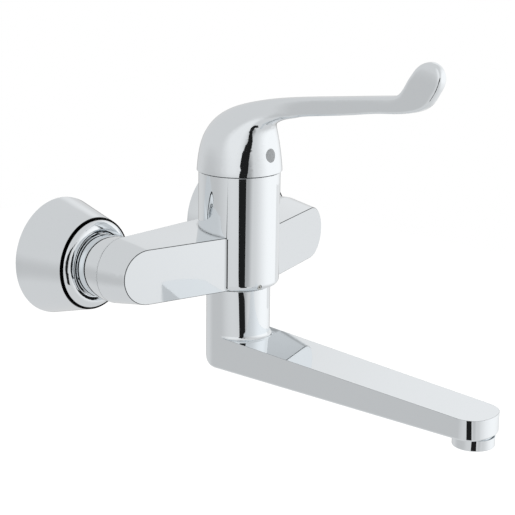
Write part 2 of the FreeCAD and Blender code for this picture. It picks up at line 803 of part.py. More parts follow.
def fixed_disc():
    floor = "base_top + thread_gap"
    body = turned("fixed_disc", [
        ("0", floor), ("fixed_disc_dia / 2", floor), ("fixed_disc_dia / 2", "fixed_top"), ("0", "fixed_top"),
    ])
    three_ways(body, "SubtractiveCylinder", "disc_way", "port_dia / 2",
               "chamber_floor", "fixed_top + overlap")
    return body


def moving_disc():
    body = turned("moving_disc", [
        ("0", "moving_floor"), ("moving_disc_dia / 2", "moving_floor"),
        ("moving_disc_dia / 2", "moving_top"), ("0", "moving_top"),
    ])
    centred_box(body, "SubtractiveBox", "mixing_hollow", "0", f"{AXIS_Y} - port_offset / 3",
                "moving_floor - overlap", "port_offset", "port_dia", "overlap + disc_thick / 2")
    return body


def disc_carrier():
    body = turned("disc_carrier", [
        ("0", "carrier_floor"), ("moving_disc_dia / 2", "carrier_floor"),
        ("moving_disc_dia / 2", "carrier_top"), ("0", "carrier_top"),
    ])
    gap = "ball_dia + 2 * play"
    centred_box(body, "SubtractiveBox", "ball_slot", "0", AXIS_Y, "carrier_floor - overlap",
                gap, gap, "carrier_height + 2 * overlap")
    return body


def turning_bush():
    body = turned("turning_bush", [
        ("0", "bush_floor"),
        ("bush_dia / 2", "bush_floor"),
        ("bush_dia / 2", "bush_top"),
        ("collar_dia / 2", "bush_top"),
        ("collar_dia / 2", "collar_top"),
        ("0", "collar_top"),
    ])
    back = "(collar_top - pivot_height) * tan(lift_angle) + stem_width / 2 + stem_clearance"
    ahead = "(pivot_height - stem_shoulder) * tan(lift_angle) + stem_width / 2 + play"
    wide = "stem_width + 2 * play"
    primitive(body, "SubtractiveBox", "stem_slot",
              (f"-({wide}) / 2", f"{AXIS_Y} - ({ahead})", "bush_floor - overlap"),
              Length=wide, Width=f"({ahead}) + ({back})", Height="collar_top")
    primitive(body, "SubtractiveCylinder", "pin_hole",
              ("-bush_dia / 2 - overlap", AXIS_Y, "pivot_height"), "right",
              Radius="pin_dia / 2 + slip / 2", Height="bush_dia + 2 * overlap")
    return body


def pivot_pin():
    body = new_body("pivot_pin")
    primitive(body, "AdditiveCylinder", "pin_rod", ("-pin_length / 2", AXIS_Y, "pivot_height"), "right",
              Radius="pin_dia / 2", Height="pin_length")
    return body


def stem():
    body = new_body("stem")
    primitive(body, "AdditiveSphere", "stem_ball", ("0", AXIS_Y, "ball_height"), Radius="ball_dia / 2")
    primitive(body, "AdditiveCylinder", "stem_neck", ("0", AXIS_Y, "ball_height"),
              Radius="stem_neck_dia / 2", Height="stem_shoulder - ball_height + overlap")
    centred_box(body, "AdditiveBox", "stem_block", "0", AXIS_Y, "stem_shoulder",
                "stem_width", "stem_width", "stem_top - stem_shoulder")
    primitive(body, "SubtractiveCylinder", "stem_eye", ("-stem_width", AXIS_Y, "pivot_height"), "right",
              Radius="pin_dia / 2 + slip", Height="2 * stem_width")
    return body


def cartridge_housing():
    plate = "base_floor + base_plate + slip"
    inner = "cartridge_dia / 2 - cartridge_wall"
    return turned("cartridge_housing", [
        (inner, plate),
        ("cartridge_dia / 2", plate),
        ("cartridge_dia / 2", "nut_seat"),
        ("collar_dia / 2 + play", "nut_seat"),
        ("collar_dia / 2 + play", "nut_seat - lid_thick"),
        (inner, "nut_seat - lid_thick"),
    ])


def cartridge_nut():
    floor = "nut_seat + slip"
    thread = "nut_thread_dia / 2 - thread_gap"
    body = turned("cartridge_nut", [
        ("nut_hole_dia / 2", floor), (thread, floor), (thread, "nut_top"), ("nut_hole_dia / 2", "nut_top"),
    ])
    spans = (("nut_thread_dia", "wrench_slot"), ("wrench_slot", "nut_thread_dia"))
    for number, (wide, deep) in enumerate(spans, start=1):
        centred_box(body, "SubtractiveBox", f"wrench_slot_{number}", "0", AXIS_Y, "nut_top - wrench_depth",
                    wide, deep, "wrench_slot")
    return body


def temperature_limiter():
    floor = "nut_seat + slip"
    top = "nut_seat + slip + limiter_height"
    inner = "collar_dia / 2 + play + slip"
    outer = "nut_hole_dia / 2 - play"
    return turned("temperature_limiter", [(inner, floor), (outer, floor), (outer, top), (inner, top)])


def shield_dome():
    outer_base = "sqrt(shield_radius ^ 2 - (column_top + slip - pivot_height) ^ 2)"
    inner_radius = "(shield_radius - shield_wall)"
    shelf = "column_top + slip + shield_wall"
    inner_shelf = f"sqrt({inner_radius} ^ 2 - ({shelf} - pivot_height) ^ 2)"
    skirt = "nut_thread_dia / 2 - play"
    hole = "shield_hole_dia / 2"
    return turned("shield_dome", [
        (f"{skirt} - overlap", "column_top - shield_skirt"),
        (skirt, "column_top - shield_skirt"),
        (skirt, "column_top + slip"),
        (outer_base, "column_top + slip", "shield_radius"),
        (hole, f"pivot_height + sqrt(shield_radius ^ 2 - ({hole}) ^ 2)"),
        (hole, f"pivot_height + sqrt({inner_radius} ^ 2 - ({hole}) ^ 2)", f"-{inner_radius}"),
        (inner_shelf, shelf),
        (f"{skirt} - overlap", shelf),
    ])


# Lever: one casting that runs from the round cap through the dome into the bar and the upturned lobe

# Sections of the dome. Forward is a share of the cap's radius and height a share of the dome's rise.
# Each row: top forward, top height, underside forward, underside height, half width, squareness
DOME_SECTIONS = [
    (-1.000, 0.000, 1.000, 0.000, 1.000, 0.01),
    (-0.984, 0.130, 0.986, 0.130, 0.985, 0.01),
    (-0.932, 0.340, 0.948, 0.330, 0.945, 0.01),
    (-0.800, 0.575, 0.905, 0.530, 0.860, 0.01),
    (-0.575, 0.775, 0.905, 0.665, 0.715, 0.05),
    (-0.265, 0.915, 0.975, 0.745, 0.540, 0.30),
    (0.105, 1.010, 1.120, 0.808, 0.385, 0.60),
    (0.540, 1.088, 1.345, 0.868, 0.275, 0.90),
    (1.010, 1.155, 1.615, 0.912, 0.215, 1.20),
]
# Sections of the straight bar. Each row: share of the way along it, squareness
BAR_SECTIONS = [(0.00, 1.45), (0.30, 1.60), (0.65, 1.60), (1.00, 1.50)]
# Sections of the lobe. Forward and height are shares of its length, from the end of the bar's top edge.
# Each row: top forward, top height, underside forward, underside height, then shares for the thickness,
# squareness and flatness
LOBE_SECTIONS = [
    (0.095, 0.013, 0.179, -0.218, 1.00, 1.45, 0.1),
    (0.198, 0.032, 0.393, -0.185, 1.00, 1.40, 0.3),
    (0.269, 0.082, 0.583, -0.133, 1.00, 1.30, 0.6),
    (0.329, 0.163, 0.721, -0.052, 1.00, 1.25, 0.8),
    (0.388, 0.263, 0.817, 0.082, 1.00, 1.20, 0.9),
    (0.452, 0.353, 0.888, 0.208, 1.00, 1.20, 0.9),
    (0.512, 0.429, 0.912, 0.313, 0.95, 1.20, 0.8),
    (0.583, 0.486, 0.893, 0.408, 0.84, 1.10, 0.5),
    (0.667, 0.517, 0.843, 0.475, 0.64, 1.00, 0.2),
    (0.729, 0.522, 0.790, 0.508, 0.36, 0.90, 0.0),
]
RING_POINTS = 24
FLAT_SIDE = 4.5


def swell(share, squareness):
    """A share from -1 to 1 drawn towards its ends, the more the squarer the section is."""
    return math.tanh(squareness * share) / math.tanh(squareness)


def lever_ring(top, under, half_width, squareness, flatness=0.0):
    """A closed section between two points of the lever's side view.

    Flatness draws a long section out into two flat sides with rounded ends.
    """
    axis = -value("axis_reach")
    base = value("cap_base")
    half = math.hypot(top[0] - under[0], top[1] - under[1]) / 2
    end = min(half_width, half) / half
    points = []
    for step in range(RING_POINTS):
        angle = 2 * math.pi * step / RING_POINTS
        rounded = swell(math.sin(angle), squareness)
        sided = (1 - end) * swell(math.sin(angle), FLAT_SIDE) + end * rounded
        along = (1 - flatness) * rounded + flatness * sided
        forward = (top[0] + under[0]) / 2 + along * (top[0] - under[0]) / 2
        height = (top[1] + under[1]) / 2 + along * (top[1] - under[1]) / 2
        points.append(V(swell(math.cos(angle), squareness) * half_width, axis - forward, base + height))
    curve = Part.BSplineCurve()
    curve.interpolate(Points=points, PeriodicFlag=True, Parameters=list(range(RING_POINTS + 1)))
    return Part.Wire([curve.toShape()])


def lever_blank():
    radius = value("cap_dia / 2")
    rise = value("dome_rise")
    rings = []
    for row in DOME_SECTIONS:
        top = (row[0] * radius, row[1] * rise)
        under = (row[2] * radius, row[3] * rise)
        rings.append(lever_ring(top, under, row[4] * radius, row[5]))
    root, tip = value("bar_root_reach"), value("bar_reach")
    slope = math.tan(math.radians(value("bar_angle")))
    crown = value("bar_root_crown")
    half_bar, half_lobe = value("bar_thick / 2"), value("lobe_thick / 2")
    for share, squareness in BAR_SECTIONS:
        forward = root + share * (tip - root)
        height = crown + slope * (forward - root)
        depth = value("bar_root_depth") + share * (value("bar_tip_depth") - value("bar_root_depth"))
        lean = depth * slope / 2
        top = (forward - lean, height)
        under = (forward + lean, height - depth)
        rings.append(lever_ring(top, under, half_bar, squareness))
    length = value("lobe_length")
    tip_height = crown + slope * (tip - root)
    for row in LOBE_SECTIONS:
        top = (tip + row[0] * length, tip_height + row[1] * length)
        under = (tip + row[2] * length, tip_height + row[3] * length)
        rings.append(lever_ring(top, under, row[4] * half_lobe, row[5], row[6]))
    return Part.makeLoft(rings, True, False, False)


def part_cylinder(name, radius, height, place, direction="up"):
    feature = doc.addObject("Part::Cylinder", name)
    feature.Placement = FreeCAD.Placement(V(0, 0, 0), DIRECTIONS[direction])
    bind(feature, "Radius", radius)
    bind(feature, "Height", height)
    for letter, formula in zip("xyz", place):
        bind(feature, f"Placement.Base.{letter}", formula)
    return feature


SOCKET_FRONT = "-(axis_reach + stem_width / 2 + slip)"
SCREW_FRONT = "-(axis_reach + stem_width / 2 + slip + screw_length)"
PLUG_BACK = "-(axis_reach + cap_dia / 2 - plug_shoulder - plug_depth)"


def lever():
    blank = doc.addObject("Part::Feature", "lever_blank")
    blank.Shape = lever_blank()
    cavity = doc.addObject("Part::Sphere", "lever_cavity")
    bind(cavity, "Radius", "cavity_radius")
    bind(cavity, "Placement.Base.y", AXIS_Y)
    bind(cavity, "Placement.Base.z", "pivot_height")
    socket = doc.addObject("Part::Box", "lever_socket")
    wide = "stem_width + 2 * slip"
    tall = "stem_top + overlap - column_top"
    for setting, formula in (("Length", wide), ("Width", wide), ("Height", tall)):
        bind(socket, setting, formula)
    for letter, formula in zip("xyz", (f"-({wide}) / 2", f"{AXIS_Y} - ({wide}) / 2", "column_top")):
        bind(socket, f"Placement.Base.{letter}", formula)
    screw_hole = part_cylinder("lever_screw_hole", "screw_dia / 2 + slip", "cap_dia / 2",
                               ("0", AXIS_Y, "screw_height"), "forward")
    plug_hole = part_cylinder("lever_plug_hole", "plug_dia / 2 + slip", "cap_dia / 2",
                              ("0", PLUG_BACK, "screw_height"), "forward")
    tools = doc.addObject("Part::MultiFuse", "lever_cuts")
    tools.Shapes = [cavity, socket, screw_hole, plug_hole]
    cut = doc.addObject("Part::Cut", "lever")
    cut.Base = blank
    cut.Tool = tools
    cut.Label = "lever"
    return cut


def lever_screw():
    body = new_body("lever_screw")
    primitive(body, "AdditiveCylinder", "screw_shank", ("0", SOCKET_FRONT, "screw_height"), "forward",
              Radius="screw_dia / 2", Height="screw_length")
    key = sketch_on(body, "screw_key_section", "XZ_Plane", ("0", "screw_height", f"-({SCREW_FRONT})"))
    outline(key, hexagon("screw_key"))
    pocket(body, key, "screw_socket", "screw_key")
    return body


def indicator_plug():
    rod = part_cylinder("plug_rod", "plug_dia / 2", "cap_dia / 2",
                        ("0", f"{PLUG_BACK} - slip", "screw_height"), "forward")
    skin = doc.addObject("Part::Feature", "plug_skin")
    skin.Shape = lever_blank()
    common = doc.addObject("Part::Common", "indicator_plug")
    common.Base = rod
    common.Tool = skin
    common.Label = "indicator_plug"
    return common


# Spout: spigot, neck, elbow and tapered arm in one casting, with its rings, lock screw and aerator

def spout_casting(body):
    """The outside of the spout: side view cut to the plan, with the neck's flare and the rounded rims."""
    side_view = sketch_on(body, "spout_side", "YZ_Plane")
    back = "(axis_reach - neck_dia / 2 - elbow_overhang)"
    outline(side_view, [
        (f"-{back}", "-spout_top_root"),
        ("-axis_reach", "-spout_top_root"),
        ("-spout_reach", "-spout_top_tip"),
        ("-spout_reach", "-spout_under_tip"),
        (f"-({back} + elbow_round)", "-spout_under_root", "elbow_round"),
        (f"-{back}", "-(spout_under_root - elbow_round)"),
    ])
    pad(body, side_view, "spout_arm", "neck_dia + 2 * overlap", both_sides=True)
    neck = column_sketch(body, "neck_section")
    slope = "((spout_top_tip - spout_top_root) / (spout_reach - axis_reach))"
    flare = "(neck_dia / 2 + throat_round)"
    foot = f"(spout_top_root + {slope} * {flare})"
    outline(neck, [
        ("0", "-(spout_under_root - elbow_round)"),
        (flare, "-(spout_under_root - elbow_round)"),
        (flare, f"-{foot}", "-throat_round"),
        ("neck_dia / 2", f"-({foot} - throat_round)"),
        ("neck_dia / 2", "neck_top - neck_lip", "neck_lip"),
        ("neck_dia / 2 - neck_lip", "neck_top"),
        ("0", "neck_top"),
    ])
    revolve(body, neck, "neck")
    plan = sketch_on(body, "spout_plan", "XY_Plane", ("0", AXIS_Y, "-(spout_under_tip + overlap)"))
    root = "(neck_dia / 2)"
    tip = "(spout_tip_width / 2)"
    run = "(spout_reach - axis_reach)"
    shoulder = "(spout_nose - sqrt(spout_nose ^ 2 - (spout_tip_width / 2) ^ 2))"
    outline(plan, [
        (root, "0", root),
        ("0", root, root),
        (f"-{root}", "0"),
        (f"-{tip}", f"-({run} - {shoulder})", "spout_nose"),
        (tip, f"-({run} - {shoulder})"),
    ])
    side_clip, front_clip = "neck_dia", f"-({run} + neck_dia)"
    outline(plan, [(f"-{side_clip}", side_clip), (side_clip, side_clip),
                   (side_clip, front_clip), (f"-{side_clip}", front_clip)])
    trim = pocket(body, plan, "spout_trim", "spout_under_tip + overlap", reversed_way=True)
    doc.recompute()
    half_tip = value(tip)
    corners = round_edges(
        body, trim, "spout_tip_corners", "spout_corner",
        lambda edge: abs(abs(edge.BoundBox.Center.x) - half_tip) < SLACK
        and edge.BoundBox.XLength < SLACK and edge.BoundBox.YLength < SLACK)
    return round_edges(body, corners, "spout_under_edges", "spout_under_round", is_under_edge)


def is_under_edge(edge):
    """Whether an edge belongs to the rim of the spout's underside or of the elbow's lower back."""
    return all(spot.z < spout_level(spot, "spout_under") + SLACK or spot.y > -value("axis_reach")
               for spot in edge_spots(edge)) and edge.BoundBox.ZMin < -value("spout_top_tip") \
        and not flat_at(edge, "Y", edge.CenterOfMass.y)


def edge_spots(edge):
    first, last = edge.ParameterRange
    return [edge.valueAt(first + (last - first) * share) for share in (0.0, 0.5, 1.0)]


def spout_level(spot, face):
    """Height of the spout's sloping top or underside at a point."""
    root, tip = value(face + "_root"), value(face + "_tip")
    start = value("axis_reach")
    share = max(0.0, (-spot.y - start) / (value("spout_reach") - start))
    return -root - (tip - root) * share


def spout():
    body = new_body("spout")
    spout_casting(body)
    spigot_top = "-(column_drop - spigot_rise)"
    primitive(body, "AdditiveCylinder", "spigot", ("0", AXIS_Y, "neck_top - overlap"),
              Radius="spigot_dia / 2", Height=f"({spigot_top}) - neck_top + overlap")
    ring_grooves = {"high": "ring_groove_high", "low": "ring_groove_low"}
    for name, drop in ring_grooves.items():
        spigot_groove(body, f"ring_groove_{name}", drop, "ring_groove_width", "ring_groove_depth")
    spigot_groove(body, "lock_groove", "lock_drop", "lock_groove_width", "lock_groove_depth")
    bores = {
        "spout_bore": (AXIS_Y, "spout_bore_dia / 2", "-spout_bore_floor", f"{spigot_top} + overlap"),
        "aerator_thread": ("-aerator_reach", "aerator_thread_dia / 2 + thread_gap",
                           "-(spout_under_tip + overlap)", "washer_top + slip"),
        "aerator_throat": ("-aerator_reach", "washer_hole_dia / 2", "-aerator_top", "-aerator_roof"),
    }
    for name, (y, radius, low, high) in bores.items():
        primitive(body, "SubtractiveCylinder", name, ("0", y, low),
                  Radius=radius, Height=f"({high}) - ({low})")
    primitive(body, "SubtractiveCylinder", "waterway", ("0", AXIS_Y, "-waterway_drop"), "forward",
              Radius="waterway_dia / 2", Height="aerator_reach - axis_reach")
    return body


def spigot_groove(body, name, drop, width, depth):
    """A square groove round the spout's spigot."""
    section = column_sketch(body, name + "_section")
    bottom, outside = f"spigot_dia / 2 - {depth}", "spigot_dia / 2 + slip"
    low, high = f"-{drop} - {width} / 2", f"-{drop} + {width} / 2"
    outline(section, [(bottom, low), (outside, low), (outside, high), (bottom, high)])
    return revolve(body, section, name, kind="PartDesign::Groove")


def spout_o_rings():
    rings = []
    for name in ("high", "low"):
        ring = doc.addObject("Part::Torus", f"spigot_ring_{name}")
        bind(ring, "Radius1", "spigot_dia / 2 - ring_groove_depth + ring_thick / 2 + slip / 5")
        bind(ring, "Radius2", "ring_thick / 2")
        bind(ring, "Placement.Base.y", AXIS_Y)
        bind(ring, "Placement.Base.z", f"-ring_groove_{name}")
        rings.append(ring)
    group = doc.addObject("Part::Compound", "spout_o_rings")
    group.Links = rings
    group.Label = "spout_o_rings"
    return group


def spout_slide_ring():
    floor = "neck_top + slip"
    top = "neck_top + slip + slide_ring_thick"
    inner, outer = "slide_ring_hole / 2", "slide_ring_dia / 2"
    return turned("spout_slide_ring", [(inner, floor), (outer, floor), (outer, top), (inner, top)])


def spout_lock_screw():
    body = new_body("spout_lock_screw")
    section = bearing_sketch(body, "lock_screw_section", "-lock_drop", "lock_bearing")
    tip = "spigot_dia / 2 - lock_groove_depth + play"
    shoulder = f"{tip} + lock_tip_length"
    head = "column_dia / 2 - lock_inset"
    outline(section, [
        (tip, "0"), (head, "0"), (head, "lock_dia / 2"),
        (shoulder, "lock_dia / 2"), (shoulder, "lock_tip_dia / 2"), (tip, "lock_tip_dia / 2"),
    ])
    revolve(body, section, "lock_screw", "H_Axis")
    key = body.newObject("PartDesign::SubtractivePrism", "lock_screw_socket")
    key.Placement = FreeCAD.Placement(
        V(0, 0, 0), FreeCAD.Rotation(V(0, 0, 1), value("lock_bearing")) * DIRECTIONS["right"])
    bind(key, "Circumradius", "lock_tip_dia / 4 + slip")
    bind(key, "Height", "lock_dia")
    seat = f"({head} - lock_tip_dia)"
    for letter, formula in zip("xyz", (f"{seat} * cos(lock_bearing)",
                                       f"{AXIS_Y} + {seat} * sin(lock_bearing)", "-lock_drop")):
        bind(key, f"Placement.Base.{letter}", formula)
    return body


def aerator_sketch(body, name):
    """Across is the radius from the aerator's axis and up is Z."""
    return sketch_on(body, name, "YZ_Plane", ("-aerator_reach", "0", "0"))


def aerator_piece(label, points):
    body = new_body(label)
    section = aerator_sketch(body, label + "_section")
    outline(section, points)
    revolve(body, section, label + "_turning")
    return body


def aerator_housing():
    bore, lip = "aerator_bore_dia / 2", "aerator_lip_dia / 2"
    rim = "aerator_dia / 2"
    return aerator_piece("aerator_housing", [
        (lip, "-aerator_bottom"),
        (f"{rim} - aerator_rim", "-aerator_bottom", "aerator_rim"),
        (rim, "-aerator_bottom + aerator_rim"),
        (rim, "-aerator_collar_top"),
        ("aerator_thread_dia / 2", "-aerator_collar_top"),
        ("aerator_thread_dia / 2", "-aerator_top"),
        (bore, "-aerator_top"),
        (bore, "-aerator_bottom + aerator_lip_height"),
        (lip, "-aerator_bottom + aerator_lip_height"),
    ])


def aerator_insert():
    floor = "-aerator_bottom + aerator_lip_height + slip"
    grid = f"{floor} + aerator_grid_thick"
    top = "-aerator_top - play"
    outer = "aerator_bore_dia / 2 - slip"
    inner = "aerator_bore_dia / 2 - insert_wall"
    body = aerator_piece("aerator_insert", [
        ("0", floor), (outer, floor), (outer, top), (inner, top), (inner, grid), ("0", grid),
    ])
    holes = sketch_on(body, "aerator_holes", "XY_Plane", ("0", "-aerator_reach", f"{floor} - overlap"))
    circle_outline(holes, "0", "0", "aerator_hole_dia / 2")
    for ring, count in ((1, 6), (2, 12)):
        for step in range(count):
            turn = 360 * step / count
            reach = f"{ring} * aerator_hole_pitch"
            circle_outline(holes, f"{reach} * cos({turn})", f"{reach} * sin({turn})", "aerator_hole_dia / 2")
    pocket(body, holes, "aerator_grid", "aerator_grid_thick + 2 * overlap", reversed_way=True)
    return body


def aerator_washer():
    inner, outer = "washer_hole_dia / 2", "aerator_thread_dia / 2 - slip"
    return aerator_piece("aerator_washer", [
        (inner, "washer_floor"), (outer, "washer_floor"), (outer, "washer_top"), (inner, "washer_top"),
    ])


def check_and_export(parts):
    failed = [thing.Label for thing in doc.Objects if "Invalid" in thing.State or "Error" in thing.State]
    if failed:
        raise SystemExit(f"objects that failed to build: {failed}")
    for part in parts:
        if part.Shape.isNull() or not part.Shape.isValid():
            raise SystemExit(f"{part.Label} has no valid shape")
    os.makedirs("parts", exist_ok=True)
    for part in parts:
        part.Shape.exportStep(f"parts/{part.Label}.step")


parts = [mixer_body()]
for side in SIDE:
    for piece in (inlet_nipple, union_nut, inlet_seal, s_union, escutcheon):
        parts.append(piece(side))
for piece in (cartridge_base, base_seals, disc_seals, fixed_disc, moving_disc, disc_carrier, turning_bush,
              pivot_pin, stem, cartridge_housing, cartridge_nut, temperature_limiter, shield_dome,
              lever, lever_screw, indicator_plug, spout, spout_o_rings, spout_slide_ring, spout_lock_screw,
              aerator_housing, aerator_insert, aerator_washer):
    parts.append(piece())
doc.recompute()
check_and_export(parts)
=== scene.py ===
import json
import math

import bmesh
import bpy
from mathutils import Matrix, Vector


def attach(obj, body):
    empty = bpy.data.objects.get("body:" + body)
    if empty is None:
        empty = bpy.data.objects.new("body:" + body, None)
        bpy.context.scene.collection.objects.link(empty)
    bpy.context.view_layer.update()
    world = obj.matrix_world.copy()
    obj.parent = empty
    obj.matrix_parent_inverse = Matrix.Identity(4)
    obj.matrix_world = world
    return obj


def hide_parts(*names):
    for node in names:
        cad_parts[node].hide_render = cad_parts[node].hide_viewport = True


# Wall basin mixer with a long elbow lever and a swivel spout, in polished chrome.
# The finished wall is the plane Y = 0, the mixer stands out along -Y, X runs along the wall and Z is up.
# Lengths are in metres, apart from those whose names say millimetres or pixels.

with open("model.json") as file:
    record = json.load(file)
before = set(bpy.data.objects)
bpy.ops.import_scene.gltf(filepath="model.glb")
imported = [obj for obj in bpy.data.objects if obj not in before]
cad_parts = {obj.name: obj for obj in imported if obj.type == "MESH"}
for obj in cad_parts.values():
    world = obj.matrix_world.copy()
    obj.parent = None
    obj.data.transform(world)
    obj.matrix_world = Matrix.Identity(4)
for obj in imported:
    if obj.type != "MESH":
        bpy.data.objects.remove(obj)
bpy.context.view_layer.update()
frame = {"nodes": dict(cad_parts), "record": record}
nodes = frame["nodes"]
MM = 0.001


# Colour and node helpers

def srgb(code):
    """An sRGB hex colour as linear red, green, blue and alpha."""
    channels = [int(code[i:i + 2], 16) / 255 for i in (1, 3, 5)]
    linear = [c / 12.92 if c <= 0.04045 else ((c + 0.055) / 1.055) ** 2.4 for c in channels]
    return (*linear, 1.0)


def add(tree, kind, settings=None, **links):
    """A node with its settings; each link or value goes to the input socket of that name."""
    node = tree.nodes.new(kind)
    for name, setting in (settings or {}).items():
        setattr(node, name, setting)
    for name, source in links.items():
        socket = node.inputs[int(name[1:])] if name[0] == "_" else node.inputs[name.replace("_", " ")]
        if isinstance(source, bpy.types.NodeSocket):
            tree.links.new(source, socket)
        else:
            socket.default_value = source
    return node


def number(tree, operation, *values):
    """One sum on up to three values."""
    return add(tree, "ShaderNodeMath", {"operation": operation},
               **{f"_{place}": value for place, value in enumerate(values)}).outputs[0]


def between(tree, share, low, high, from_low=0.35, from_high=0.65):
    """A number that runs from low to high as the share runs from one end to the other."""
    return add(tree, "ShaderNodeMapRange", Value=share, From_Min=from_low, From_Max=from_high,
               To_Min=low, To_Max=high).outputs["Result"]


def shade(tree, share, first, second):
    """A colour that runs from the first to the second as the share does."""
    return add(tree, "ShaderNodeMix", {"data_type": "RGBA"}, Factor=share, _6=first, _7=second).outputs[2]


def new_material(name):
    """An empty material and its node tree."""
    material = bpy.data.materials.new(name)
    material.use_nodes = True
    tree = material.node_tree
    tree.nodes.clear()
    return material, tree


# Camera

IMAGE_SIZE = 515
FOCAL_PX = 1630.613
CENTRE_PX = (216.169, 245.744)
CAMERA_AZIMUTH = math.radians(-47.781)
CAMERA_ELEVATION = math.radians(14.428)
CAMERA_ROLL = math.radians(0.387)
CAMERA_PLACE = Vector((-0.729582, -0.724243, 0.256001))
SENSOR_MM = 36
CLIP_NEAR, CLIP_FAR = 0.05, 50


def make_camera():
    """The camera stands left of the mixer and a little above it, and is shifted off the image's middle."""
    data = bpy.data.cameras.new("studio_camera")
    camera = bpy.data.objects.new("studio_camera", data)
    bpy.context.scene.collection.objects.link(camera)
    back = Vector((math.sin(CAMERA_AZIMUTH) * math.cos(CAMERA_ELEVATION),
                   -math.cos(CAMERA_AZIMUTH) * math.cos(CAMERA_ELEVATION),
                   math.sin(CAMERA_ELEVATION)))
    level = Vector((math.cos(CAMERA_AZIMUTH), math.sin(CAMERA_AZIMUTH), 0))
    upright = back.cross(level)
    right = level * math.cos(CAMERA_ROLL) + upright * math.sin(CAMERA_ROLL)
    up = upright * math.cos(CAMERA_ROLL) - level * math.sin(CAMERA_ROLL)
    turn = Matrix((right, up, back)).transposed().to_4x4()
    camera.matrix_world = Matrix.Translation(CAMERA_PLACE) @ turn
    data.sensor_width = SENSOR_MM
    data.lens = FOCAL_PX / IMAGE_SIZE * SENSOR_MM
    data.shift_x = (IMAGE_SIZE / 2 - CENTRE_PX[0]) / IMAGE_SIZE
    data.shift_y = (CENTRE_PX[1] - IMAGE_SIZE / 2) / IMAGE_SIZE
    data.clip_start = CLIP_NEAR
    data.clip_end = CLIP_FAR
    bpy.context.scene.camera = camera


# Studio: a cloth tent with soft patches on it, a dark card beside the camera, a grey card beside the right
# arm, a white floor and one soft lamp

# The tent is plain cloth of one tone, with a few broad soft patches. The tones are those that chrome shows,
# from 0 to 255. A patch is an oval: the bearing and the height of its middle, half its width and half its
# height, all in degrees, and its tone. Bearing 0 is straight out of the wall, -90 is along -X, and height 0
# is level.
CLOTH_TONE = 206
TENT_PATCHES = [
    # a wide softbox to the right
    (60, 0, 75, 50, 248),
    # a white board to the left
    (-65, 20, 45, 45, 230),
    # the dim gap where the camera stands
    (-27, -5, 20, 22, 155),
    # a grey board against the wall on the left
    (-132, -16, 50, 28, 190),
    # the shaded wall at the right end, and a white board above it
    (132, -14, 28, 18, 160),
    (105, 24, 40, 20, 232),
]
# A patch has its full tone out to this share of the way to its edge
PATCH_CORE = 0.3
# The share of light that the plate sends back
CHROME_SHARE = 0.9
WHITE = (1, 1, 1, 1)


def tent_level(tone):
    """How bright the tent is where chrome shows this tone of it."""
    return srgb("#" + f"{tone:02X}" * 3)[0] / CHROME_SHARE


def tent_grey(tone):
    """The tent's colour where chrome shows this tone of it."""
    return (tent_level(tone),) * 3 + (1,)


def tent_patch(tree, spot, tent, middle, height, half_width, half_height, tone):
    """The tent with one soft oval laid over it."""
    away = add(tree, "ShaderNodeVectorMath", {"operation": "SUBTRACT"}, _0=spot, _1=(middle, height, 0))
    sized = add(tree, "ShaderNodeVectorMath", {"operation": "DIVIDE"}, _0=away.outputs[0],
                _1=(half_width, half_height, 1))
    reach = add(tree, "ShaderNodeVectorMath", {"operation": "LENGTH"}, _0=sized.outputs[0])
    share = add(tree, "ShaderNodeMapRange", {"interpolation_type": "SMOOTHSTEP"},
                Value=reach.outputs["Value"], From_Min=PATCH_CORE, From_Max=1.0, To_Min=1.0, To_Max=0.0)
    return shade(tree, share.outputs["Result"], tent, tent_grey(tone))


def make_world():
    """The tent as the chrome sees it, and plain white behind the mixer to the camera."""
    world = bpy.data.worlds.new("light_tent")
    bpy.context.scene.world = world
    world.use_nodes = True
    tree = world.node_tree
    tree.nodes.clear()
    place = add(tree, "ShaderNodeTexCoord")
    split = add(tree, "ShaderNodeSeparateXYZ", Vector=place.outputs["Generated"])
    outward = number(tree, "MULTIPLY", split.outputs["Y"], -1.0)
    bearing = number(tree, "ARCTAN2", split.outputs["X"], outward)
    height = number(tree, "ARCSINE", split.outputs["Z"])
    spot = add(tree, "ShaderNodeCombineXYZ", X=number(tree, "DEGREES", bearing),
               Y=number(tree, "DEGREES", height), Z=0.0).outputs[0]
    tent = tent_grey(CLOTH_TONE)
    for patch in TENT_PATCHES:
        tent = tent_patch(tree, spot, tent, *patch)
    rays = add(tree, "ShaderNodeLightPath")
    shown = shade(tree, rays.outputs["Is Camera Ray"], tent, WHITE)
    light = add(tree, "ShaderNodeBackground", Color=shown, Strength=1.0)
    add(tree, "ShaderNodeOutputWorld", Surface=light.outputs[0])


def stage_sheet(name, corners, faces, material):
    """A sheet of the studio, which isn't part of the mixer."""
    mesh = bpy.data.meshes.new(name)
    mesh.from_pydata(corners, [], faces)
    sheet = bpy.data.objects.new(name, mesh)
    bpy.context.scene.collection.objects.link(sheet)
    mesh.materials.append(material)
    return sheet


FLOOR_HALF = 1.5
FLOOR_HEIGHT = -0.42
FLOOR_LIFT = 0.33


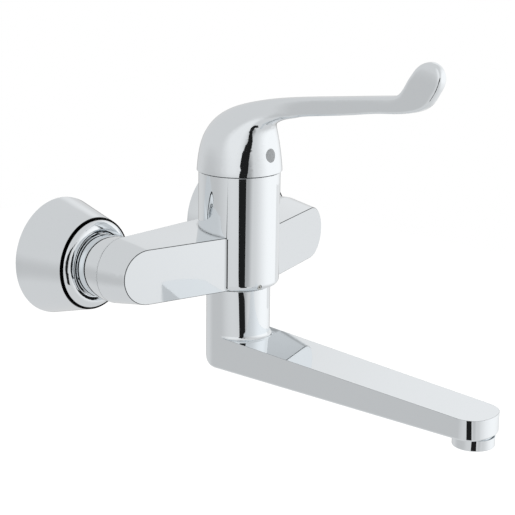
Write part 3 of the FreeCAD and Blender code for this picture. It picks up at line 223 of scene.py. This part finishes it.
def make_floor():
    """A white floor well below the mixer, lifted past white to the camera so that only its shadow shows."""
    paint, tree = new_material("white_floor_paint")
    rays = add(tree, "ShaderNodeLightPath")
    matt = add(tree, "ShaderNodeBsdfDiffuse", Color=srgb("#F4F4F4"))
    white = add(tree, "ShaderNodeEmission", Color=WHITE, Strength=FLOOR_LIFT)
    lifted = add(tree, "ShaderNodeAddShader", _0=matt.outputs[0], _1=white.outputs[0])
    shown = add(tree, "ShaderNodeMixShader", _0=rays.outputs["Is Camera Ray"], _1=matt.outputs[0],
                _2=lifted.outputs[0])
    add(tree, "ShaderNodeOutputMaterial", Surface=shown.outputs[0])
    corners = [(x * FLOOR_HALF, y * FLOOR_HALF, FLOOR_HEIGHT)
               for x, y in ((-1, -1), (1, -1), (1, 1), (-1, 1))]
    floor = stage_sheet("studio_floor", corners, [(0, 1, 2, 3)], paint)
    floor.visible_glossy = False


# The dark card stands upright on one line across the floor, given as a point of it and its direction. Each
# row is a height on the card, and where its left and right edges are along that line. Its upper end leans to
# the right.
CARD_START_MM = Vector((-325, -354, 0))
CARD_ALONG = Vector((0.912, -0.411, 0))
DARK_CARD_ROWS_MM = [
    (-280, 62, 208), (-165, 44, 190), (-137, 36, 186), (-127, 20, 184), (-116, 11, 140), (-31, 0, 147),
    (40, 6, 158), (72, 24, 182), (92, 44, 205), (108, 67, 230), (120, 91, 262), (130, 118, 330),
    (141, 160, 400),
]
DARK_CARD_TONE = 30
# The grey card is a plain upright sheet beside the right arm.
GREY_CARD_ENDS_MM = ((200, -60), (200, -140))
GREY_CARD_HEIGHTS_MM = (-90, 5)
GREY_CARD_TONE = 224


def make_card(name, corners_mm, tone):
    """A card that only the chrome sees."""
    felt, tree = new_material(name + "_felt")
    level = tent_level(tone)
    dull = add(tree, "ShaderNodeEmission", Color=(level, level, level, 1), Strength=1.0)
    add(tree, "ShaderNodeOutputMaterial", Surface=dull.outputs[0])
    corners = [Vector(corner) * MM for corner in corners_mm]
    faces = [(row, row + 1, row + 3, row + 2) for row in range(0, len(corners) - 2, 2)]
    card = stage_sheet(name, corners, faces, felt)
    card.visible_camera = False
    card.visible_diffuse = False
    card.visible_shadow = False


def make_cards():
    """A dark card, the black stripe down lever, column and neck, and a grey one that dulls the right arm."""
    rise = Vector((0, 0, 1))
    dark = [CARD_START_MM + CARD_ALONG * edge + rise * height
            for height, *edges in DARK_CARD_ROWS_MM for edge in edges]
    grey = [(*end, height) for height in GREY_CARD_HEIGHTS_MM for end in GREY_CARD_ENDS_MM]
    make_card("dark_card", dark, DARK_CARD_TONE)
    make_card("grey_card", grey, GREY_CARD_TONE)


LAMP_WIDTH = 0.9
LAMP_WATTS = 6
LAMP_PLACE = (0.1, -0.25, 1.2)


def make_lamp():
    """One wide soft lamp above, too soft to leave more than a faint shadow, and hidden from the chrome."""
    data = bpy.data.lights.new("overhead_softbox", "AREA")
    data.shape = "DISK"
    data.size = LAMP_WIDTH
    data.energy = LAMP_WATTS
    lamp = bpy.data.objects.new("overhead_softbox", data)
    lamp.location = LAMP_PLACE
    lamp.visible_glossy = False
    lamp.visible_camera = False
    bpy.context.scene.collection.objects.link(lamp)


# Materials

def in_mm(tree):
    """The point on the piece in millimetres."""
    place = add(tree, "ShaderNodeTexCoord")
    return add(tree, "ShaderNodeMapping", Vector=place.outputs["Object"], Scale=(1 / MM,) * 3).outputs[0]


def noise(tree, vector, size_mm, detail=2.0):
    """Noise whose features are about this many millimetres across."""
    return add(tree, "ShaderNodeTexNoise", Vector=vector, Scale=1 / size_mm, Detail=detail).outputs["Fac"]


def bumped(tree, height, rise_mm):
    """The surface normal over a relief of this many millimetres."""
    return add(tree, "ShaderNodeBump", Height=height, Strength=1.0, Distance=rise_mm * MM).outputs["Normal"]


def finish_tree(tree, **sockets):
    """The surface shader, with these sockets set or linked."""
    shader = add(tree, "ShaderNodeBsdfPrincipled", **sockets)
    add(tree, "ShaderNodeOutputMaterial", Surface=shader.outputs[0])


# How wide the painted dark line of shade along a crisp edge is, and how near a wall has to be to close a gap
EDGE_LINE_MM = 0.4
GAP_SIGHT_MM = 3.5
SIGHT_SAMPLES = 4
# How far the rounded normal still follows the true one, from inside the line to clear of it
EDGE_TURN = (0.88, 0.98)
# How much of the sky a spot sees, from in the gap to clear of it, for the painted edge line and for the
# painted gap shade
EDGE_ROOM = (0.75, 0.95)
GAP_SHADE_ROOM = (0.3, 0.58)
# The black of the painted shade in gaps and grooves
PAINTED_SHADE_COLOUR = "#0B0B0C"


def polished_chrome(name="polished_chrome_plate", painted_shade=None, skip_gap_shade=False):
    """Bright nickel and chromium plate on a buffed casting: a near mirror, a little less even than glass.

    The buffing leaves slow ripples a few millimetres long. A thin dark line of painted shade runs along crisp
    outer edges, and the narrow gaps between pieces are painted black as shade, unless the gap shade is turned
    off. A further shade function adds painted black of its own: it gives the share of it at a point.
    """
    material, tree = new_material(name)
    point = in_mm(tree)
    ripple = noise(tree, point, 7.0, 1.0)
    haze = noise(tree, point, 2.5)
    normal = bumped(tree, ripple, 0.0015)
    rounded = add(tree, "ShaderNodeBevel", {"samples": SIGHT_SAMPLES}, Radius=EDGE_LINE_MM * MM)
    surface = add(tree, "ShaderNodeNewGeometry")
    turn = add(tree, "ShaderNodeVectorMath", {"operation": "DOT_PRODUCT"},
               _0=rounded.outputs[0], _1=surface.outputs["Normal"])
    crisp = between(tree, turn.outputs["Value"], 1.0, 0.0, *EDGE_TURN)
    room = add(tree, "ShaderNodeAmbientOcclusion", {"samples": SIGHT_SAMPLES},
               Distance=GAP_SIGHT_MM * MM).outputs["AO"]
    edge = number(tree, "MULTIPLY", crisp, between(tree, room, 0.0, 1.0, *EDGE_ROOM))
    # Painted shade: a thin dark line along crisp outer edges, clear of gaps
    colour = shade(tree, edge, srgb("#EFF3F6"), srgb("#6F7376"))
    # Painted shade: black where nearby walls close a gap
    if not skip_gap_shade:
        colour = shade(tree, between(tree, room, 1.0, 0.0, *GAP_SHADE_ROOM), colour, srgb(PAINTED_SHADE_COLOUR))
    # Painted shade: black where the given shade function says
    if painted_shade:
        colour = shade(tree, painted_shade(tree, point), colour, srgb(PAINTED_SHADE_COLOUR))
    finish_tree(tree, Base_Color=colour, Metallic=1.0, Roughness=between(tree, haze, 0.02, 0.05),
                Normal=normal)
    return material


def painted_chamfer_shade():
    """Dark satin chrome with a fine grain, put on the arms' chamfers as a painted dark line of shade."""
    material, tree = new_material("arm_chamfer_painted_dark_line")
    grain = noise(tree, in_mm(tree), 0.4, 3.0)
    colour = shade(tree, between(tree, grain, 0.0, 1.0), srgb("#2A2C2E"), srgb("#3A3D3F"))
    finish_tree(tree, Base_Color=colour, Metallic=1.0, Roughness=between(tree, grain, 0.2, 0.35))
    return material


# The inlets' axes lie this far to each side of the middle. A groove in a cover's front is a radius about that
# axis and a width, and is in front of this depth.
INLET_SIDE_MM = 75.0
RING_GROOVE_MM = (27.5, 1.6)
LINE_GROOVE_MM = (20.4, 0.8)
COVER_FRONT_MM = -28.0


def groove_painted_shade(tree, point):
    """Where black shade is painted into the two turned grooves of a cover's front."""
    split = add(tree, "ShaderNodeSeparateXYZ", Vector=point)
    across = number(tree, "SUBTRACT", number(tree, "ABSOLUTE", split.outputs["X"]), INLET_SIDE_MM)
    spoke = add(tree, "ShaderNodeCombineXYZ", X=across, Y=0.0, Z=split.outputs["Z"])
    radius = add(tree, "ShaderNodeVectorMath", {"operation": "LENGTH"}, _0=spoke.outputs[0]).outputs["Value"]
    ring, line = (number(tree, "COMPARE", radius, centre, width / 2)
                  for centre, width in (RING_GROOVE_MM, LINE_GROOVE_MM))
    front = number(tree, "LESS_THAN", split.outputs["Y"], COVER_FRONT_MM)
    return number(tree, "MULTIPLY", number(tree, "MAXIMUM", ring, line), front)


def turned_brass(name, along):
    """Free-machining brass as it leaves the lathe: fine tool rings, warm, with a little brown tarnish."""
    material, tree = new_material(name)
    point = in_mm(tree)
    rings = add(tree, "ShaderNodeTexWave", {"wave_type": "BANDS", "bands_direction": along}, Vector=point,
                Scale=0.9, Distortion=0.6, Detail=2.0).outputs["Fac"]
    tarnish = noise(tree, point, 6.0, 4.0)
    colour = shade(tree, between(tree, tarnish, 0.0, 1.0), srgb("#CDAA62"), srgb("#A8803F"))
    finish_tree(tree, Base_Color=colour, Metallic=1.0, Roughness=between(tree, tarnish, 0.22, 0.38),
                Normal=bumped(tree, rings, 0.02))
    return material


def machined_stainless():
    """Stainless steel bar, drawn and ground: pale, with short grinding streaks along it."""
    material, tree = new_material("machined_stainless_steel")
    point = in_mm(tree)
    drawn = add(tree, "ShaderNodeMapping", Vector=point, Scale=(4.0, 4.0, 0.4)).outputs[0]
    streak = noise(tree, drawn, 1.0, 3.0)
    colour = shade(tree, between(tree, streak, 0.0, 1.0), srgb("#C9C9C5"), srgb("#B4B4B1"))
    finish_tree(tree, Base_Color=colour, Metallic=1.0, Roughness=between(tree, streak, 0.18, 0.34),
                Normal=bumped(tree, streak, 0.003))
    return material


def moulded_rubber():
    """Moulded EPDM rubber: near black, dull, with a faint grey bloom and the mould's fine grain."""
    material, tree = new_material("moulded_black_rubber")
    point = in_mm(tree)
    bloom = noise(tree, point, 1.6, 4.0)
    grain = noise(tree, point, 0.2)
    colour = shade(tree, between(tree, bloom, 0.0, 1.0), srgb("#19191A"), srgb("#2B2B2D"))
    finish_tree(tree, Base_Color=colour, Roughness=between(tree, bloom, 0.55, 0.75), Specular_IOR_Level=0.4,
                Normal=bumped(tree, grain, 0.01))
    return material


def pressed_fibre():
    """Vulcanised fibre sheet, punched: brick red and matt, with paler fibres pressed into it."""
    material, tree = new_material("pressed_red_fibre")
    point = in_mm(tree)
    laid = add(tree, "ShaderNodeMapping", Vector=point, Rotation=(0, math.radians(30), 0),
               Scale=(0.4, 1.0, 2.5))
    fibre = noise(tree, laid.outputs[0], 0.5, 5.0)
    colour = shade(tree, between(tree, fibre, 0.0, 1.0), srgb("#8A2B20"), srgb("#B0553F"))
    finish_tree(tree, Base_Color=colour, Roughness=0.82, Normal=bumped(tree, fibre, 0.03))
    return material


def glass_filled_plastic():
    """Injection-moulded nylon with glass fibre: mid grey and satin, with pale fibre ends and flow marks."""
    material, tree = new_material("glass_filled_grey_nylon")
    point = in_mm(tree)
    flow = noise(tree, point, 5.0, 3.0)
    fibre = noise(tree, point, 0.25, 1.0)
    ground = shade(tree, between(tree, flow, 0.0, 1.0), srgb("#8F9497"), srgb("#989DA0"))
    colour = shade(tree, between(tree, fibre, 0.0, 0.5, 0.62, 0.7), ground, srgb("#B9BDBF"))
    finish_tree(tree, Base_Color=colour, Roughness=between(tree, flow, 0.42, 0.55),
                Normal=bumped(tree, fibre, 0.006))
    return material


FLOW_SHADE = 0.9
FLOW_ROUGHNESS = 0.05


def moulded_plastic(name, colour, roughness, relief_mm, subsurface=0.0):
    """Plain acetal as moulded: even colour with slow flow marks and the tool's fine spark grain."""
    material, tree = new_material(name)
    point = in_mm(tree)
    flow = noise(tree, point, 4.0, 3.0)
    grain = noise(tree, point, 0.3, 2.0)
    shadow = [channel * FLOW_SHADE for channel in srgb(colour)[:3]] + [1.0]
    finish_tree(tree, Base_Color=shade(tree, between(tree, flow, 0.0, 1.0), srgb(colour), shadow),
                Roughness=between(tree, flow, roughness - FLOW_ROUGHNESS, roughness + FLOW_ROUGHNESS),
                Subsurface_Weight=subsurface, Subsurface_Scale=MM, Normal=bumped(tree, grain, relief_mm))
    return material


def lapped_ceramic():
    """Sintered alumina, lapped and polished: off-white, nearly glassy, with a fine sintered speck."""
    material, tree = new_material("lapped_alumina")
    point = in_mm(tree)
    speck = noise(tree, point, 0.35, 3.0)
    colour = shade(tree, between(tree, speck, 0.0, 1.0, 0.5, 0.75), srgb("#EFEDE2"), srgb("#DAD6C6"))
    finish_tree(tree, Base_Color=colour, Roughness=between(tree, speck, 0.10, 0.2), Coat_Weight=0.3)
    return material


def hatched_plug():
    """Moulded grey ABS with fine slanting lines across its face, half a millimetre apart."""
    material, tree = new_material("hatched_grey_abs")
    point = in_mm(tree)
    slant = add(tree, "ShaderNodeMapping", Vector=point, Rotation=(0, math.radians(40), 0)).outputs[0]
    lines = add(tree, "ShaderNodeTexWave", {"wave_type": "BANDS", "bands_direction": "X"}, Vector=slant,
                Scale=0.55, Distortion=0.3).outputs["Fac"]
    colour = shade(tree, between(tree, lines, 0.0, 1.0, 0.3, 0.7), srgb("#BABDBF"), srgb("#9A9EA1"))
    finish_tree(tree, Base_Color=colour, Roughness=0.35, Normal=bumped(tree, lines, 0.02))
    return material


CHROME = polished_chrome()
FINISHES = {
    "polished_chrome": CHROME,
    "stainless": machined_stainless(),
    "seal_rubber": moulded_rubber(),
    "fibre_seal": pressed_fibre(),
    "cartridge_plastic": glass_filled_plastic(),
    "limiter_plastic": moulded_plastic("moulded_orange_acetal", "#D9571F", 0.42, 0.004),
    "slide_plastic": moulded_plastic("moulded_white_acetal", "#E9E8E2", 0.38, 0.003, 0.1),
    "ceramic": lapped_ceramic(),
    "plug_plastic": hatched_plug(),
    "aerator_plastic": moulded_plastic("moulded_pale_aerator_acetal", "#CDD1D3", 0.4, 0.004, 0.1),
}
LATHE_BRASS = turned_brass("turned_brass_along_inlets", "Y")
NUT_BRASS = turned_brass("turned_brass_along_column", "Z")
PAINTED_CHAMFER_SHADE = painted_chamfer_shade()
# The covers take painted black shade in their turned grooves and none in their gaps
COVER_CHROME = polished_chrome("polished_chrome_plate_on_turned_cover", groove_painted_shade, skip_gap_shade=True)
# No painted gap shade on the spout, so the gap between the spout's tip and the aerator stays bright
SPOUT_CHROME = polished_chrome("polished_chrome_plate_on_spout", skip_gap_shade=True)
OWN_FINISH = {
    "spout": SPOUT_CHROME, "aerator_housing": SPOUT_CHROME,
    "escutcheon_left": COVER_CHROME, "escutcheon_right": COVER_CHROME,
    "inlet_nipple_left": LATHE_BRASS, "inlet_nipple_right": LATHE_BRASS,
    "s_union_left": LATHE_BRASS, "s_union_right": LATHE_BRASS,
    "cartridge_nut": NUT_BRASS,
}

# Pieces

# Faces that meet at less than this are one curve, and corners nearer than this are one corner
SMOOTH_ANGLE = math.radians(25)
MERGE_MM = 0.002
BODY_OF = {node: body for body, members in frame["record"]["behaviour"]["bodies"].items() for node in members}
SLOT_OF = {part["node"]: part["material_slot"] for part in frame["record"]["subparts"]}


def hand_over(piece, node):
    """The piece moves with the node's body and stands in for the node."""
    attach(piece, BODY_OF[node])
    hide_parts(node)


def merged_copy(name, node):
    """The CAD node's solid as one joined mesh with smooth curves and crisp edges."""
    mesh = nodes[node].data.copy()
    mesh.name = name
    mesh.materials.clear()
    work = bmesh.new()
    work.from_mesh(mesh)
    bmesh.ops.remove_doubles(work, verts=work.verts, dist=MERGE_MM * MM)
    for face in work.faces:
        face.smooth = True
    for edge in work.edges:
        edge.smooth = edge.calc_face_angle(0) < SMOOTH_ANGLE
    for thread in THREADS_MM.get(node, []):
        sink_thread(work, *thread)
    work.to_mesh(mesh)
    work.free()
    return settled(name, mesh, keep_walls_true)


def settled(name, mesh, modify):
    """The mesh with its modifier worked into it, on an object of this name."""
    draft = bpy.data.objects.new(name + "_draft", mesh)
    bpy.context.scene.collection.objects.link(draft)
    modify(draft)
    ready = draft.evaluated_get(bpy.context.evaluated_depsgraph_get())
    finished = bpy.data.meshes.new_from_object(ready)
    bpy.data.objects.remove(draft)
    finished.name = name
    piece = bpy.data.objects.new(name, finished)
    bpy.context.scene.collection.objects.link(piece)
    return piece


WALL_WEIGHT = 100


def keep_walls_true(piece):
    """Normals weighed by face area, so that the small rounds bend the light and the large walls stay true."""
    weigh = piece.modifiers.new("true_walls", "WEIGHTED_NORMAL")
    weigh.mode = "FACE_AREA"
    weigh.weight = WALL_WEIGHT
    weigh.keep_sharp = True


# The threads of each node, as (radius, X of the axis, Z of the axis, front end, back end). The pipe threads
# have 14 turns to the inch.
THREAD_PITCH_MM = 1.814
THREAD_DEPTH_MM = 0.8
THREADS_MM = {}
for hand, inlet_x in (("left", -INLET_SIDE_MM), ("right", INLET_SIDE_MM)):
    THREADS_MM["s_union_" + hand] = [(13.22, inlet_x, 0, -29.8, -17.1), (10.48, inlet_x, -8, -5.1, 15)]
    THREADS_MM["inlet_nipple_" + hand] = [(9.1, inlet_x, 0, -66, -53.95)]
# A wall is threaded where it is this near the thread's radius and ends. Its root is sunk by this share of the
# ridge's depth, so that the ridge is rooted in it.
RADIUS_SLACK_MM = 0.05
END_SLACK_MM = 0.02
ROOT_SHARE = 0.95


def sink_thread(work, radius, x, z, front, back):
    """Draws the threaded wall in to the thread's root, so that the ridge on it ends at the CAD's radius."""
    for vert in work.verts:
        spoke = Vector((vert.co.x / MM - x, 0, vert.co.z / MM - z))
        along = front - END_SLACK_MM < vert.co.y / MM < back + END_SLACK_MM
        if along and abs(spoke.length - radius) < RADIUS_SLACK_MM:
            sunk = spoke * ((radius - ROOT_SHARE * THREAD_DEPTH_MM) / radius)
            vert.co.x, vert.co.z = (x + sunk.x) * MM, (z + sunk.z) * MM


TURN_STEPS = 40
RIDGE_CORNERS = 4


def thread_tree():
    """A screw thread: one helical ridge with a pointed section, from its sizes."""
    tree = bpy.data.node_groups.new("screw_thread_ridge", "GeometryNodeTree")
    sockets = {}
    for name, kind in (("Turns", "Float"), ("Core Radius", "Float"), ("Length", "Float"), ("Depth", "Float"),
                       ("Start", "Vector"), ("Metal", "Material")):
        sockets[name] = tree.interface.new_socket(name=name, in_out="INPUT",
                                                  socket_type="NodeSocket" + kind)
    tree.interface.new_socket(name="Mesh", in_out="OUTPUT", socket_type="NodeSocketGeometry")
    size = add(tree, "NodeGroupInput").outputs
    helix = add(tree, "GeometryNodeCurveSpiral", Resolution=TURN_STEPS, Rotations=size["Turns"],
                Start_Radius=size["Core Radius"], End_Radius=size["Core Radius"], Height=size["Length"])
    level = add(tree, "GeometryNodeSetCurveNormal", {"mode": "Z_UP"}, Curve=helix.outputs[0])
    crest = add(tree, "GeometryNodeCurvePrimitiveCircle", {"mode": "RADIUS"}, Resolution=RIDGE_CORNERS,
                Radius=size["Depth"])
    ridge = add(tree, "GeometryNodeCurveToMesh", Curve=level.outputs[0], Profile_Curve=crest.outputs[0],
                Fill_Caps=True)
    laid = add(tree, "GeometryNodeTransform", Geometry=ridge.outputs[0], Translation=size["Start"],
               Rotation=(math.radians(-90), 0, 0))
    real = add(tree, "GeometryNodeRealizeInstances", Geometry=laid.outputs[0])
    plated = add(tree, "GeometryNodeSetMaterial", Geometry=real.outputs[0], Material=size["Metal"])
    add(tree, "NodeGroupOutput", Mesh=plated.outputs[0])
    return tree, sockets


THREAD_MERGE_MM = 0.001


def cut_threads(node, tree, sockets, metal):
    """One piece with all the threads of a node."""
    whole = bpy.data.meshes.new(node + "_thread")
    joined = bmesh.new()
    for place, (radius, x, z, front, back) in enumerate(THREADS_MM[node]):
        run = back - front - 2 * THREAD_DEPTH_MM
        sizes = {
            "Turns": run / THREAD_PITCH_MM,
            "Core Radius": (radius - THREAD_DEPTH_MM) * MM,
            "Length": run * MM,
            "Depth": THREAD_DEPTH_MM * MM,
            "Start": Vector((x, front + THREAD_DEPTH_MM, z)) * MM,
            "Metal": metal,
        }

        def cut(piece):
            modifier = piece.modifiers.new("thread", "NODES")
            modifier.node_group = tree
            for name, value in sizes.items():
                modifier[sockets[name].identifier] = value

        ridge = settled(f"{node}_thread_{place}", bpy.data.meshes.new("thread_start"), cut)
        joined.from_mesh(ridge.data)
        bpy.data.objects.remove(ridge)
    bmesh.ops.remove_doubles(joined, verts=joined.verts, dist=THREAD_MERGE_MM * MM)
    bmesh.ops.recalc_face_normals(joined, faces=joined.faces)
    joined.to_mesh(whole)
    joined.free()
    whole.materials.append(metal)
    piece = bpy.data.objects.new(node + "_thread", whole)
    bpy.context.scene.collection.objects.link(piece)
    hand_over(piece, node)


# The arms' flat faces turn back by this much from the middle, and a fine chamfer runs round each. The cosine
# between a face and the arm's way out tells the flat face, which has this much at least, from the chamfer.
ARM_SWEEP = math.radians(15)
CHAMFER_MM = 0.3
FLAT_FACING = 0.9999
CHAMFER_FACING = (0.3, 0.95)


def paint_arm_chamfer_shade(piece):
    """The fine chamfer round each arm's face takes the dark chrome: a painted dark line of shade round the
    face.
    """
    piece.data.materials.append(PAINTED_CHAMFER_SHADE)
    dark_index = len(piece.data.materials) - 1
    faces = piece.data.polygons
    spots = piece.data.vertices
    reach = (CHAMFER_MM + END_SLACK_MM) * MM
    low, high = CHAMFER_FACING
    for side in (-1, 1):
        out = Vector((side * math.sin(ARM_SWEEP), -math.cos(ARM_SWEEP), 0))
        flat = max((face for face in faces if face.normal.dot(out) > FLAT_FACING), key=lambda face: face.area)
        plane = flat.center.dot(out)
        for face in faces:
            close = all(abs(spots[i].co.dot(out) - plane) < reach for i in face.vertices)
            if close and low < face.normal.dot(out) < high and side * face.center.x > 0:
                # Painted shade: this chamfer face takes the dark line
                face.material_index = dark_index


# The column's axis stands this far from the wall. Its wall is this near its radius, and nearly upright.
COLUMN_REACH_MM = 81.0
COLUMN_RADIUS_MM = 25.0
COLUMN_SLACK_MM = 0.02
UPRIGHT_SLACK = 0.02


def true_column(piece):
    """The column's wall gets the normals of a true cylinder, so that its reflections run straight down."""
    mesh = piece.data
    normals = [Vector(corner.vector) for corner in mesh.corner_normals]
    for face in mesh.polygons:
        spokes = []
        for corner in face.loop_indices:
            spot = mesh.vertices[mesh.loops[corner].vertex_index].co / MM
            spokes.append(Vector((spot.x, spot.y + COLUMN_REACH_MM, 0)))
        upright = abs(face.normal.z) < UPRIGHT_SLACK
        if upright and all(abs(spoke.length - COLUMN_RADIUS_MM) < COLUMN_SLACK_MM for spoke in spokes):
            for corner, spoke in zip(face.loop_indices, spokes):
                normals[corner] = spoke.normalized()
    mesh.normals_split_custom_set(normals)


def dress(node):
    """The finished piece of a node, in its own finish or its slot's."""
    piece = merged_copy(node + "_finish", node)
    piece.data.materials.append(OWN_FINISH.get(node) or FINISHES[SLOT_OF[node]])
    if node == "mixer_body":
        paint_arm_chamfer_shade(piece)
        true_column(piece)
    hand_over(piece, node)


make_camera()
make_world()
make_floor()
make_cards()
make_lamp()
for node in nodes:
    dress(node)
ridge_tree, ridge_sockets = thread_tree()
for node in THREADS_MM:
    cut_threads(node, ridge_tree, ridge_sockets, OWN_FINISH[node])
bpy.context.scene.view_settings.view_transform = "Standard"
